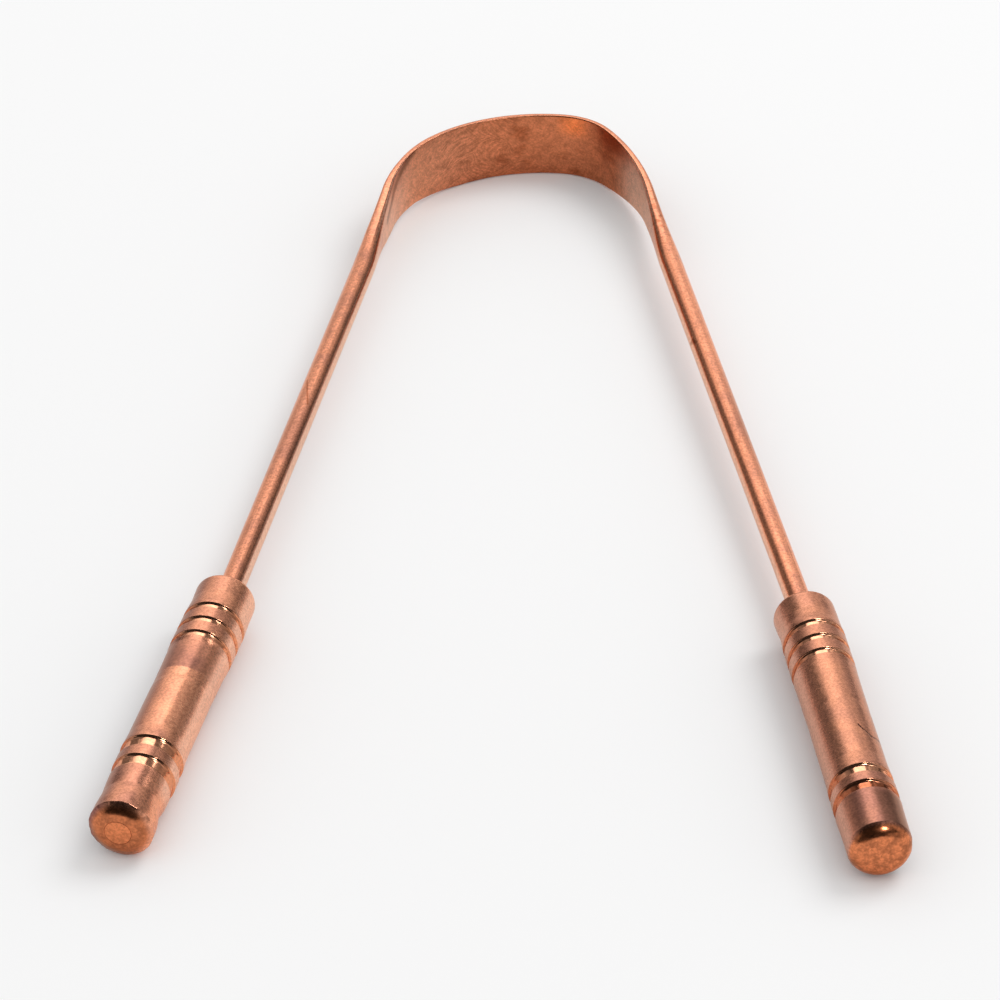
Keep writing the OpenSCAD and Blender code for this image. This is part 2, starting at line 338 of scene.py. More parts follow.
def mesh_from_rings(name, rings, closed_loop, attributes):
    """A mesh from rings of points, one array of (ring, around, xyz) in metres.
    The rings join into a loop, or end in a point at each end."""
    count, around = rings.shape[:2]
    vertices = rings.reshape(-1, 3)
    faces = []
    for i in range(count if closed_loop else count - 1):
        a, b = i * around, (i + 1) % count * around
        for j in range(around):
            k = (j + 1) % around
            faces.append((a + j, a + k, b + k, b + j))
    if not closed_loop:
        first, last = len(vertices), len(vertices) + 1
        ends = [rings[0].mean(axis=0), rings[-1].mean(axis=0)]
        vertices = np.vstack([vertices, ends])
        base = (count - 1) * around
        for j in range(around):
            k = (j + 1) % around
            faces.append((first, k, j))
            faces.append((last, base + j, base + k))
    mesh = bpy.data.meshes.new(name)
    mesh.from_pydata(vertices.tolist(), [], faces)
    for label, values in attributes.items():
        values = values.reshape(count * around, -1)
        if not closed_loop:
            ends = [values[:around].mean(axis=0), values[-around:].mean(axis=0)]
            values = np.vstack([values, ends])
        kind, field = ("FLOAT_VECTOR", "vector") if values.shape[1] == 3 else ("FLOAT", "value")
        attribute = mesh.attributes.new(label, kind, "POINT")
        attribute.data.foreach_set(field, values.astype(np.float32).ravel())
    mesh.shade_smooth()
    return placed(name, mesh)


# The rod


def rod_stations():
    """Distances along the rod at which it has a ring, close together round the bow"""
    bow_from = -LEFT_TAPER_ARM
    bow_to = BOW_L + RIGHT_TAPER_ARM
    left_end = LEFT_TIP_AT + GRIP_L - float(crown_s(LEFT, ROD_D / 2))
    right_end = RIGHT_TIP_AT - GRIP_L - SKIN + float(crown_s(RIGHT, ROD_D / 2))
    left = np.arange(left_end, bow_from, ARM_STEP)
    bow = np.arange(bow_from, bow_to, BOW_STEP)
    right = np.arange(right_end, bow_to, -ARM_STEP)[::-1]
    return np.concatenate([left, bow, right])


# How far the real rod strays from the CAD model's, as (distance, how far): its outer side outwards
# where the left arm flattens, and its lower edge upwards, or downwards if that is negative
OUTER_STRAY = [(-16, 0), (-9, 0.27), (0, 0.25), (5, 0)]
LOWER_STRAY = [(-10, 0), (-5, -0.35), (-1, -0.3), (2, 0), (4.5, 0.25), (8, 0.5), (11, 0.35), (16, 0)]
# How deep the rod's surface waves on the round arms and on the rolled strip, and how long the
# waves are out, up and along. They only go inwards, so the rod stays inside the CAD model's box
ARM_WAVE = 0.012
STRIP_WAVE = 0.03
ROD_WAVE_L = (2.4, 2.6, 9)
ROD_SEED = 1
# A point is on the strip's inner face by how far its direction turns inwards, and by how far the
# rod is flattened there, as ranges of shares
INWARD_SHARES = (0.4, 0.8)
FLATTENED_SHARES = (0.035, 0.385)
# The tang's end is dressed inside a faint ring on the left, and lies under a skin of metal spread
# over it on the right
LEFT_CAP_SHARES = (0.985, 0.95, 0.8, 0.5, 0.2)
RIGHT_CAP_SHARES = (0.95, 0.8, 0.5, 0.2)
SKIN = 0.08


def rod_rings():
    """The rod's rings: in the tilted plan with their waves, as (out, up, along), as how much each
    point belongs to the strip's inner face, and in the tilted plan without the waves"""
    waved, drawn, inner, plain = [], [], [], []
    long_out, long_up, long_along = ROD_WAVE_L

    def add(distance, share):
        """Adds the ring at a distance, shrunk to a share of its size on the tang's end"""
        x, y, heading = rod_place(distance)
        width = rod_width(distance)
        thickness = flattened_thickness(width)
        points, outward = rod_section(width, thickness)
        strayed = np.array(points)
        outer_share = 0.5 + points[:, 0] / thickness
        lower_share = np.clip(-2 * points[:, 1] / width, 0, 1)
        strayed[:, 0] += outer_share * np.interp(distance, *zip(*OUTER_STRAY))
        strayed[:, 1] += lower_share * np.interp(distance, *zip(*LOWER_STRAY))
        flat = (width - ROD_D) / (STRIP_W - ROD_D)
        size = 0
        if share == 1:
            size = ARM_WAVE + (STRIP_WAVE - ARM_WAVE) * flat
        at = np.array([x, y, 0])
        out_way = np.array([-math.cos(heading), math.sin(heading), 0])
        lift = np.array([0, 0, 1])
        clean, rippled = [], []
        for (out, up), (n_out, n_up) in zip(strayed * share, outward):
            swell = wave(out / long_out, up / long_up, distance / long_along, ROD_SEED)
            bump = size * (swell - 1) / 2
            rippled.append(at + (out + bump * n_out) * out_way + (up + bump * n_up) * lift)
        for out, up in points * share:
            clean.append(at + out * out_way + up * lift)
        waved.append(rippled)
        plain.append(clean)
        drawn.append([(out, up, distance) for out, up in points * share])
        inner.append(eased(-outward[:, 0], *INWARD_SHARES) * float(eased(flat, *FLATTENED_SHARES)))

    for share in reversed(LEFT_CAP_SHARES):
        add(LEFT_TIP_AT + GRIP_L - float(crown_s(LEFT, share * ROD_D / 2)), share)
    for distance in rod_stations():
        add(distance, 1)
    for share in RIGHT_CAP_SHARES:
        add(RIGHT_TIP_AT - GRIP_L - SKIN + float(crown_s(RIGHT, share * ROD_D / 2)), share)
    return tilted(np.array(waved)), np.array(drawn), np.array(inner), tilted(np.array(plain))


ROD_POINTS, ROD_DRAWN, ROD_INNER, ROD_CLEAN = rod_rings()

# The plan goes where its rod fills the CAD rod's box
CAD_ROD_LOW, CAD_ROD_HIGH = (np.array(corner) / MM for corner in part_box("scraper_rod"))
PLAN_LOW = ROD_CLEAN.reshape(-1, 3).min(axis=0)
PLAN_HIGH = ROD_CLEAN.reshape(-1, 3).max(axis=0)
SHIFT = (CAD_ROD_LOW + CAD_ROD_HIGH - PLAN_LOW - PLAN_HIGH) / 2


def in_place(points, box_name):
    """Tilted plan points in metres and in place, kept inside the CAD node's box"""
    low, high = (np.array(corner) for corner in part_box(box_name))
    return np.clip((points + SHIFT) * MM, low, high)


def make_rod():
    rings = in_place(ROD_POINTS, "scraper_rod")
    return mesh_from_rings("rod", rings, False, {"drawn": ROD_DRAWN, "inner": ROD_INNER})


# The grips, as turned profiles of (distance from the inner face, radius)


def groove_list(side):
    """Place, width and depth of each groove"""
    inner = [
        (INNER_GROOVE_AT + i * INNER_GROOVE_PITCH, INNER_GROOVE_W, INNER_GROOVE_DEPTH)
        for i in range(INNER_GROOVES)
    ]
    outer = [
        (side["outer_at"] + i * side["outer_pitch"], side["outer_w"], OUTER_GROOVE_DEPTH)
        for i in range(OUTER_GROOVES)
    ]
    return inner + outer


# A groove's walls are steep, the higher the power the squarer, and its floor slopes down
# towards the grip's end
GROOVE_POWER = 8
GROOVE_SLOPE = 0.09


def groove_floor(s, at, width, depth):
    """Radius of a groove at a place, and beside it one that is larger than any collar"""
    off = np.abs(s - at) / (width / 2)
    floor = COLLAR_R - depth * (1 - np.minimum(off, 1) ** GROOVE_POWER) - GROOVE_SLOPE * (s - at)
    return np.where(off < 1, floor, 2 * COLLAR_R)


def rim_rings(side):
    """The rim's (s, radius) pairs, from the straight side round to the crown"""
    first, lateness, meet_r = side["rim"]
    last = 90 - math.degrees(math.asin(meet_r / crown_r(side)))
    share = np.linspace(0, 1, RIM_STEPS)
    tilt = np.radians(first + (last - first) * share**lateness)
    step_s = np.cos((tilt[1:] + tilt[:-1]) / 2)
    step_r = np.sin((tilt[1:] + tilt[:-1]) / 2)
    size = (END_R - meet_r) / step_r.sum()
    s = np.concatenate([[0], np.cumsum(step_s)]) * size
    radius = END_R - np.concatenate([[0], np.cumsum(step_r)]) * size
    return np.stack([s + float(crown_s(side, meet_r)) - s[-1], radius], axis=1)


def turned_rings(side):
    """Rings of one grip as (s, radius) pairs, from the bore's inner edge out, along and back in"""
    grooves = groove_list(side)
    rim = rim_rings(side)
    fine = [
        np.arange(at - width / 2 - GROOVE_MARGIN, at + width / 2 + GROOVE_MARGIN, GROOVE_STEP)
        for at, width, _ in grooves
    ]
    plain = np.arange(SHOULDER_ROUND, rim[0, 0] - RIM_CLEAR, PLAIN_STEP)
    s = np.unique(np.round(np.concatenate(fine + [plain]), STATION_DIGITS))
    radius = np.interp(s, *zip(*side["profile"]))
    for at, width, depth in grooves:
        radius = np.minimum(radius, groove_floor(s, at, width, depth))
    body = np.stack([s, radius], axis=1)

    angles = np.linspace(0, math.pi / 2, SHOULDER_STEPS)
    shoulder = np.stack([
        SHOULDER_ROUND * (1 - np.sin(angles)),
        side["profile"][0][1] - SHOULDER_ROUND * (1 - np.cos(angles)),
    ], axis=1)[::-1]

    crown_radii = np.linspace(rim[-1, 1], side["open_r"], CROWN_STEPS)[1:]
    crown = np.stack([crown_s(side, crown_radii), crown_radii], axis=1)
    bore = np.array([(float(crown_s(side, BORE_R)) - SKIN, BORE_R)])
    if side["open_r"] < BORE_R:
        bore = np.vstack([[(crown[-1, 0] - SKIN / 2, side["open_r"])], bore])
    return np.vstack([[(0, BORE_R)], shoulder[:-1], body, rim, crown, bore])


# Wear starts this far outside the bore, and a grip that lies astray does so fully this far out
WORN_FROM = 0.3
ASTRAY_FROM = 0.5
# A turned surface is a little out of round: how far, how large a circle in the noise it follows,
# and how long its lumps are
OUT_OF_ROUND = 0.008
LUMPS_AROUND = 1.4
LUMP_L = 5
# The left grip's rim has a ragged lip: how wide it is, how high it stands and how far it strays
# along the grip, with how much finer its lumps are and where in the noise they lie
LIP_WIDTH = 0.3
LIP_HEIGHT = 0.05
LIP_HEIGHT_MEAN = 0.5
LIP_HEIGHT_FINER = 5
LIP_HEIGHT_SLICE = 3
LIP_STRAY = 0.1
LIP_STRAY_FINER = 4
# It also has a dent on its right side, this many radians below the middle
DENT_AT = 37.5
DENT_L = 1.1
DENT_DEPTH = 0.26
DENT_TURN = 0.4
DENT_POWER = 3
# How far a groove's brighter metal fades at its edges, and where the end's colour begins past the
# rim and how far it fades in
GROOVE_FADE = 0.05
END_FROM = 0.05
END_FADE = 0.5


def worn(side, s, radius, theta):
    """The turned surface with what use and the maker's tools left on it"""
    on_skin = radius > BORE_R + WORN_FROM
    round_x, round_y = LUMPS_AROUND * np.cos(theta), LUMPS_AROUND * np.sin(theta)
    lumps = np.vectorize(lambda x, y, z: wave(x, y, z, side["seed"]))
    radius = radius + on_skin * OUT_OF_ROUND * (lumps(round_x, round_y, s / LUMP_L) - 1)
    if side["ragged"]:
        near_lip = np.exp(-np.square((s - rim_rings(side)[0, 0]) / LIP_WIDTH)) * on_skin
        stray = lumps(LIP_STRAY_FINER * round_x, LIP_STRAY_FINER * round_y, 0)
        height = lumps(LIP_HEIGHT_FINER * round_x, LIP_HEIGHT_FINER * round_y, LIP_HEIGHT_SLICE)
        s = s + near_lip * LIP_STRAY * stray
        radius = radius + near_lip * LIP_HEIGHT * (LIP_HEIGHT_MEAN + height)
        facing = np.clip(np.cos(theta + DENT_TURN), 0, 1) ** DENT_POWER
        dent = np.exp(-np.square((s - DENT_AT) / DENT_L))
        radius = radius - DENT_DEPTH * facing * dent * on_skin
    return s, radius


def make_grip(name, node, side, elbow, heading):
    """A grip's rings on their axis, which starts past the rod's elbow"""
    profile = turned_rings(side)
    angle = np.linspace(0, 2 * math.pi, GRIP_AROUND, endpoint=False)
    s, theta = np.meshgrid(profile[:, 0], angle, indexing="ij")
    radius = np.repeat(profile[:, 1][:, None], GRIP_AROUND, axis=1)
    groove = np.zeros_like(s)
    for at, width, _ in groove_list(side):
        past_edge = np.abs(s - at) - width / 2
        groove = np.maximum(groove, 1 - eased(past_edge, -GROOVE_FADE, GROOVE_FADE))
    tarnish = np.interp(s, *zip(*side["tarnish"]))
    end_from = rim_rings(side)[0, 0] + END_FROM
    end = eased(s, end_from, end_from + END_FADE)
    s, radius = worn(side, s, radius, theta)

    x0, y0, _ = along_line((*elbow[:2], heading), ELBOW_GAP)
    axis = np.array([math.sin(heading), math.cos(heading), 0])
    across = np.array([-math.cos(heading), math.sin(heading), 0])
    up = np.array([0, 0, 1])
    out = np.cos(theta)[..., None] * across + np.sin(theta)[..., None] * up
    astray = np.interp(s, *zip(*side["astray"])) * np.clip((radius - BORE_R) / ASTRAY_FROM, 0, 1)
    points = np.array([x0, y0, 0]) + s[..., None] * axis + radius[..., None] * out
    points = points + astray[..., None] * across
    lathe = np.stack([radius * np.cos(theta), radius * np.sin(theta), s], axis=-1)
    attributes = {"lathe": lathe, "groove": groove, "tarnish": tarnish, "end": end}
    return mesh_from_rings(name, in_place(tilted(points), node), True, attributes)


# Materials

# Copper keeps some of its own colour where a round form turns away from the eye
EDGE_TINT = (1, 0.85, 0.75, 1)
NOISE_ROUGHNESS = 0.55
# A colour mix's sockets for its two colours and its result
MIX_FIRST = 6
MIX_SECOND = 7
MIX_RESULT = 2
# Longer than any distance to a path
FAR = 9.0
# Rubbing marks: each slant in radians with its place in the noise, lumps per millimetre ahead and
# aside, and the slow bend, as its lumps along and up, its size and the range that picks a slant
SWIRL_SLANTS = ((0.45, 0.0), (-0.75, 20.0))
SWIRL_AHEAD = 0.45
SWIRL_ASIDE = 3.4
SWIRL_DETAIL = 2
BEND_ALONG = 0.15
BEND_UP = 0.25
BEND_DETAIL = 1
BEND_SIZE = 4
BEND_RANGE = (0.47, 0.55)


class Shader:
    """Short ways to add nodes to one material"""

    def __init__(self, name):
        self.material = bpy.data.materials.new(name)
        self.material.use_nodes = True
        self.tree = self.material.node_tree
        self.surface = self.tree.nodes["Principled BSDF"]

    def add(self, kind, **settings):
        made = self.tree.nodes.new(kind)
        for key, value in settings.items():
            setattr(made, key, value)
        return made

    def link(self, source, target):
        """Joins an output to a socket, or sets the socket to a plain value"""
        if hasattr(source, "links"):
            self.tree.links.new(source, target)
        else:
            target.default_value = source

    def attribute(self, name):
        return self.add("ShaderNodeAttribute", attribute_name=name)

    def math(self, operation, first, second=0.0, third=0.0):
        made = self.add("ShaderNodeMath", operation=operation)
        for socket, value in zip(made.inputs, (first, second, third)):
            self.link(value, socket)
        return made.outputs[0]

    def times(self, first, second):
        return self.math("MULTIPLY", first, second)

    def times_plus(self, first, second, third):
        """The first times the second, plus the third"""
        return self.math("MULTIPLY_ADD", first, second, third)

    def larger(self, first, second):
        return self.math("MAXIMUM", first, second)

    def noise(self, vector, detail, roughness=NOISE_ROUGHNESS):
        made = self.add("ShaderNodeTexNoise")
        self.link(vector, made.inputs["Vector"])
        made.inputs["Scale"].default_value = 1
        made.inputs["Detail"].default_value = detail
        made.inputs["Roughness"].default_value = roughness
        return made.outputs["Fac"]

    def lumps(self, vector, scale, detail, start=(0, 0, 0), roughness=NOISE_ROUGHNESS):
        """Noise with so many lumps per millimetre on each axis, from its own place in the noise"""
        place = self.add("ShaderNodeVectorMath", operation="MULTIPLY_ADD")
        self.link(vector, place.inputs[0])
        place.inputs[1].default_value = scale
        place.inputs[2].default_value = start
        return self.noise(place.outputs[0], detail, roughness)

    def window(self, value, low, high, to_low=0.0, to_high=1.0):
        """The value's range from low to high, eased onto another range"""
        made = self.add("ShaderNodeMapRange", interpolation_type="SMOOTHSTEP")
        self.link(value, made.inputs["Value"])
        labels = ("From Min", "From Max", "To Min", "To Max")
        for label, number in zip(labels, (low, high, to_low, to_high)):
            made.inputs[label].default_value = number
        return made.outputs["Result"]

    def mix(self, share, first, second):
        """The first colour, with a share of the second in it"""
        made = self.add("ShaderNodeMix", data_type="RGBA")
        self.link(share, made.inputs["Factor"])
        for index, value in ((MIX_FIRST, first), (MIX_SECOND, second)):
            self.link(value if hasattr(value, "links") else (*value, 1), made.inputs[index])
        return made.outputs[MIX_RESULT]

    def parts(self, vector):
        made = self.add("ShaderNodeSeparateXYZ")
        self.link(vector, made.inputs[0])
        return made.outputs

    def joined(self, x, y, z=0.0):
        made = self.add("ShaderNodeCombineXYZ")
        for socket, value in zip(made.inputs, (x, y, z)):
            self.link(value, socket)
        return made.outputs[0]

    def scaled(self, colour, factor):
        made = self.add("ShaderNodeVectorMath", operation="SCALE")
        self.link(colour, made.inputs[0])
        self.link(factor, made.inputs["Scale"])
        return made.outputs[0]

    def bell(self, value, middle, reach):
        """1 at the middle, easing to 0 at the reach on both sides"""
        away = self.math("ABSOLUTE", self.math("SUBTRACT", value, middle))
        return self.window(away, 0, reach, 1, 0)

    def outside(self, value, low, high):
        """1 below the low value and above the high one"""
        below = self.math("LESS_THAN", value, low)
        return self.math("ADD", below, self.math("GREATER_THAN", value, high))

    def swirls(self, along, up):
        """Rubbing marks, which slant one way in some places and the other way in others"""
        bend = self.joined(self.times(along, BEND_ALONG), self.times(up, BEND_UP))
        bend = self.noise(bend, BEND_DETAIL)
        marks = []
        for slant, start in SWIRL_SLANTS:
            ahead = self.times_plus(up, math.sin(slant), self.times(along, math.cos(slant)))
            aside = self.times_plus(along, -math.sin(slant), self.times(up, math.cos(slant)))
            aside = self.times_plus(bend, BEND_SIZE, aside)
            place = self.joined(self.times(ahead, SWIRL_AHEAD), self.times(aside, SWIRL_ASIDE), start)
            marks.append(self.noise(place, SWIRL_DETAIL))
        apart = self.math("SUBTRACT", marks[1], marks[0])
        return self.times_plus(apart, self.window(bend, *BEND_RANGE), marks[0])

    def along_path(self, place, path, core, reach):
        """1 within the core's distance of a path of flat points, easing to 0 at the reach"""
        nearest = FAR
        corners = [Vector((x, y, 0)) for x, y in path]
        for start, end in zip(corners, corners[1:]):
            edge = end - start
            from_start = self.add("ShaderNodeVectorMath", operation="SUBTRACT")
            self.link(place, from_start.inputs[0])
            from_start.inputs[1].default_value = start
            along = self.add("ShaderNodeVectorMath", operation="DOT_PRODUCT")
            self.link(from_start.outputs[0], along.inputs[0])
            along.inputs[1].default_value = edge / edge.length_squared
            share = self.add("ShaderNodeClamp")
            self.link(along.outputs["Value"], share.inputs["Value"])
            foot = self.add("ShaderNodeVectorMath", operation="SCALE")
            foot.inputs[0].default_value = edge
            self.link(share.outputs[0], foot.inputs["Scale"])
            off = self.add("ShaderNodeVectorMath", operation="DISTANCE")
            self.link(from_start.outputs[0], off.inputs[0])
            self.link(foot.outputs[0], off.inputs[1])
            nearest = self.math("MINIMUM", off.outputs["Value"], nearest)
        return self.window(nearest, core, reach, 1, 0)

    def bump(self, height, distance, below=None):
        made = self.add("ShaderNodeBump")
        made.inputs["Strength"].default_value = 1
        made.inputs["Distance"].default_value = distance
        self.link(height, made.inputs["Height"])
        if below is not None:
            self.link(below, made.inputs["Normal"])
        return made.outputs["Normal"]

    def copper(self, tone, rough, normal):
        """Gives the metal its colour, roughness and fine relief"""
        self.link(tone, self.surface.inputs["Base Color"])
        self.surface.inputs["Metallic"].default_value = 1
        self.surface.inputs["Specular Tint"].default_value = EDGE_TINT
        self.link(rough, self.surface.inputs["Roughness"])
        self.link(normal, self.surface.inputs["Normal"])
        return self.material


# Copper in its states, as the linear colour that it reflects
MAUVE = (0.44, 0.185, 0.13)
# The next three are painted: reflections on the grips' edges, and shade on the right grip's end
EDGE_REFLECTION = (0.92, 0.60, 0.46)
MAUVE_EDGE_REFLECTION = (0.60, 0.32, 0.24)
DULL_SHADE = (0.25, 0.105, 0.07)
ARM = (0.72, 0.285, 0.165)
RED_BROWN = (0.60, 0.195, 0.088)
# Painted sheen on the strip's ends
PALE_BROWN = (0.86, 0.40, 0.235)
# Painted sheen and reflection, on the strip's ends and the arms' inner edge
GREY_SHEEN = (0.88, 0.56, 0.42)
DARK_RED = (0.34, 0.085, 0.03)
STREAK = (0.16, 0.055, 0.03)
ORANGE = (0.72, 0.225, 0.092)
BROWN = (0.36, 0.115, 0.05)
# Painted reflection of copper in copper, in the tight bend
BEND_REFLECTION = (0.95, 0.25, 0.08)
CUT = (0.90, 0.41, 0.24)
# Painted reflection of copper in copper, in the grooves
COPPER_REFLECTION_RED = (0.50, 0.15, 0.07)
CRACK = (0.10, 0.03, 0.02)

# In the values below, a LUMPS is a noise: lumps per millimetre on each axis, detail, and for some
# its place in the noise and its roughness. A RANGE is where an eased change starts and ends, and
# what it runs from and to if not from 0 to 1. A SPOT is its middle and its reach on both sides. A
# SHARE is how much of a colour goes in. Places on the rod are millimetres along from the bow's
# start, up from its middle and out from the bow
ROD_GRAIN_LUMPS = ((4, 4, 4), 2)
ROD_STAIN_LUMPS = ((0.5, 0.45, 0.3), 3, (3, 7, 1))
ROD_LINE_LUMPS = ((7, 7, 0.12), 2)
ROD_PEBBLE_LUMPS = ((1.5, 1.5, 1.3), 2, (5, 1, 2))
ROD_MOTTLE_LUMPS = ((1.1, 1.1, 0.9), 3, (1, 4, 7))

# The arms: stains, drawn lines, the right arm painted paler as light, mauve stretches on the left arm
# and on the right arm's outer side, the right arm's inner side painted redder as shade, and both
# arms' inner edge painted pale as a reflection of the floor
ARM_STAIN_RANGE = (0.45, 0.7, 0, 0.5)
ARM_LINE_RANGE = (0.35, 0.65, 0.92, 1.06)
RIGHT_ARM_LIGHT_RANGE = (BOW_L, BOW_L + 12, 1, 1.28)
LEFT_MAUVE_SPOT = (-56, 12)
LEFT_MAUVE_SHARE = 0.7
RIGHT_MAUVE_SPOT = (105, 16)
RIGHT_MAUVE_RANGE = (-0.2, 1)
MAUVE_SHARE = 0.7
SHADED_ALONG_RANGE = (BOW_L, BOW_L + 6, 0, 0.4)
SHADED_OUT_RANGE = (0, -0.6)
ARM_EDGE_REFLECTION_SHIFT_RANGE = (0, BOW_L, 0, 0.18)
ARM_EDGE_REFLECTION_RANGE = (-0.9, -1.25, 0, 0.8)
# A scratch on the left arm and a nick on the right one's upper side, as (along, out), with their
# core and reach, and a pebbly stretch where the right arm meets the bow
SCRATCH_PATH = [(-44.3, 0.75), (-46.5, 0.25), (-49.6, -0.5)]
SCRATCH_WIDTHS = (0.05, 0.14)
NICK_PATH = [(85, -1.25), (86, -1)]
NICK_WIDTHS = (0.1, 0.3)
UPPER_SIDE_RANGE = (0, 0.2, 0, 0.7)
PEBBLE_SPOT = (57, 9)
PEBBLE_RANGE = (0.5, 0.62)
PEBBLE_SHARE = 0.5


def arm_tone(m, out, up, along, stains, lines, pebbles):
    """Drawn copper of the arms, with its tarnish, scratch, nick and pebbly stretch, the right arm's
    painted light and shade, and the inner edge's painted reflection
    """
    tone = m.mix(m.window(stains, *ARM_STAIN_RANGE), ARM, MAUVE)
    tone = m.scaled(tone, m.window(lines, *ARM_LINE_RANGE))
    # The right arm is painted brighter, as light
    tone = m.scaled(tone, m.window(along, *RIGHT_ARM_LIGHT_RANGE))
    left_mauve = m.times(m.bell(along, *LEFT_MAUVE_SPOT), LEFT_MAUVE_SHARE)
    right_mauve = m.times(m.bell(along, *RIGHT_MAUVE_SPOT), m.window(out, *RIGHT_MAUVE_RANGE))
    tone = m.mix(m.times(m.larger(left_mauve, right_mauve), MAUVE_SHARE), tone, MAUVE)
    # The right arm's inner side is painted red brown, as shade
    shaded = m.times(m.window(along, *SHADED_ALONG_RANGE), m.window(out, *SHADED_OUT_RANGE))
    tone = m.mix(shaded, tone, RED_BROWN)
    # The inner edge is painted pale grey, a painted reflection of the pale floor
    edge = m.math("ADD", out, m.window(along, *ARM_EDGE_REFLECTION_SHIFT_RANGE))
    tone = m.mix(m.window(edge, *ARM_EDGE_REFLECTION_RANGE), tone, GREY_SHEEN)
    place = m.joined(along, out)
    scratch = m.along_path(place, SCRATCH_PATH, *SCRATCH_WIDTHS)
    nick = m.along_path(place, NICK_PATH, *NICK_WIDTHS)
    marked = m.times(m.larger(scratch, nick), m.window(up, *UPPER_SIDE_RANGE))
    tone = m.mix(marked, tone, DARK_RED)
    pebbly = m.times(m.bell(along, *PEBBLE_SPOT), m.window(pebbles, *PEBBLE_RANGE))
    return m.mix(m.times(pebbly, PEBBLE_SHARE), tone, DARK_RED)


# The strip: dark stains, paler and then greyer ends painted as sheen, a painted reflection glowing in
# the tight bend and painted shade at the darkest place past it, both on its upper part, swirls where
# it was rubbed, mottle and grain
STRIP_STAIN_RANGE = (0.48, 0.68, 0, 0.6)
PALE_LEFT_RANGE = (1, 25, 1, 0)
PALE_RIGHT_RANGE = (42, 48)
PALE_SHARE = 0.9
GREY_LEFT_RANGE = (-1, 9, 1, 0)
GREY_RIGHT_RANGE = (39, 46)
GREY_SHARE = 0.85
BEND_REFLECTION_SPOT = (32, 3)
BEND_REFLECTION_UP_RANGE = (0.8, 3)
BEND_SHADE_SPOT = (39.5, 6)
BEND_SHADE_UP_RANGE = (0.8, 2.8)
BEND_SHADE_SHARE = 0.8
RUBBED_SPOT = (18, 12)
RUBBED_MORE = 0.7
RUBBED_LEAST = 0.3
SWIRL_RANGE = (0.36, 0.64, 0.15, -0.18)
STRIP_MOTTLE_RANGE = (0.35, 0.7, 1.08, 0.86)
STRIP_GRAIN_RANGE = (0.3, 0.7, 1.03, 0.96)
# The dark streak inside the left ridge of the strip, as (along, up), with its core and reach
STREAK_PATH = [(-4, 0.2), (-1, 1), (2.8, 2.5), (5.5, 3.4), (7.5, 4.1)]
STREAK_WIDTHS = (0.1, 1)
STREAK_SHARE = 0.65


def strip_tone(m, up, along, stains, swirl, mottle, grain):
    """The strip's inner face, oxidised to a red brown that is partly painted shade, with painted
    sheen on its ends, painted reflection and shade in the bend, swirls and streak
    """
    # The red brown is partly oxide and partly painted shade, for the shadowed floor that the face
    # reflects
    tone = m.mix(m.window(stains, *STRIP_STAIN_RANGE), RED_BROWN, DARK_RED)
    # Painted sheen: the ends are paler, then greyer
    ends = m.larger(m.window(along, *PALE_LEFT_RANGE), m.window(along, *PALE_RIGHT_RANGE))
    tone = m.mix(m.times(ends, PALE_SHARE), tone, PALE_BROWN)
    grey_sheen = m.larger(m.window(along, *GREY_LEFT_RANGE), m.window(along, *GREY_RIGHT_RANGE))
    tone = m.mix(m.times(grey_sheen, GREY_SHARE), tone, GREY_SHEEN)
    # Painted reflection glowing in the tight bend
    bend_reflection = m.times(m.bell(along, *BEND_REFLECTION_SPOT), m.window(up, *BEND_REFLECTION_UP_RANGE))
    tone = m.mix(bend_reflection, tone, BEND_REFLECTION)
    # Painted shade past the bend
    bend_shade = m.times(m.bell(along, *BEND_SHADE_SPOT), m.window(up, *BEND_SHADE_UP_RANGE))
    tone = m.mix(m.times(bend_shade, BEND_SHADE_SHARE), tone, DARK_RED)
    rubbed = m.times_plus(m.bell(along, *RUBBED_SPOT), RUBBED_MORE, RUBBED_LEAST)
    marks = m.times(m.window(swirl, *SWIRL_RANGE), rubbed)
    tone = m.scaled(tone, m.math("ADD", marks, m.window(mottle, *STRIP_MOTTLE_RANGE)))
    tone = m.scaled(tone, m.window(grain, *STRIP_GRAIN_RANGE))
    streak = m.along_path(m.joined(along, up), STREAK_PATH, *STREAK_WIDTHS)
    return m.mix(m.times(streak, STREAK_SHARE), tone, STREAK)


# The rod as a whole: its orange tips, its grain, its roughness, and its marks' heights in metres
TIP_L = 1
ROD_GRAIN_RANGE = (0.3, 0.7, 0.78, 1.16)
ROD_ROUGH_RANGE = (0.3, 0.7, 0.17, 0.22)
STRIP_ROUGHER = 0.14
ROD_LINE_HEIGHT = 0.0000015
ROD_GRAIN_HEIGHT = 0.0000012


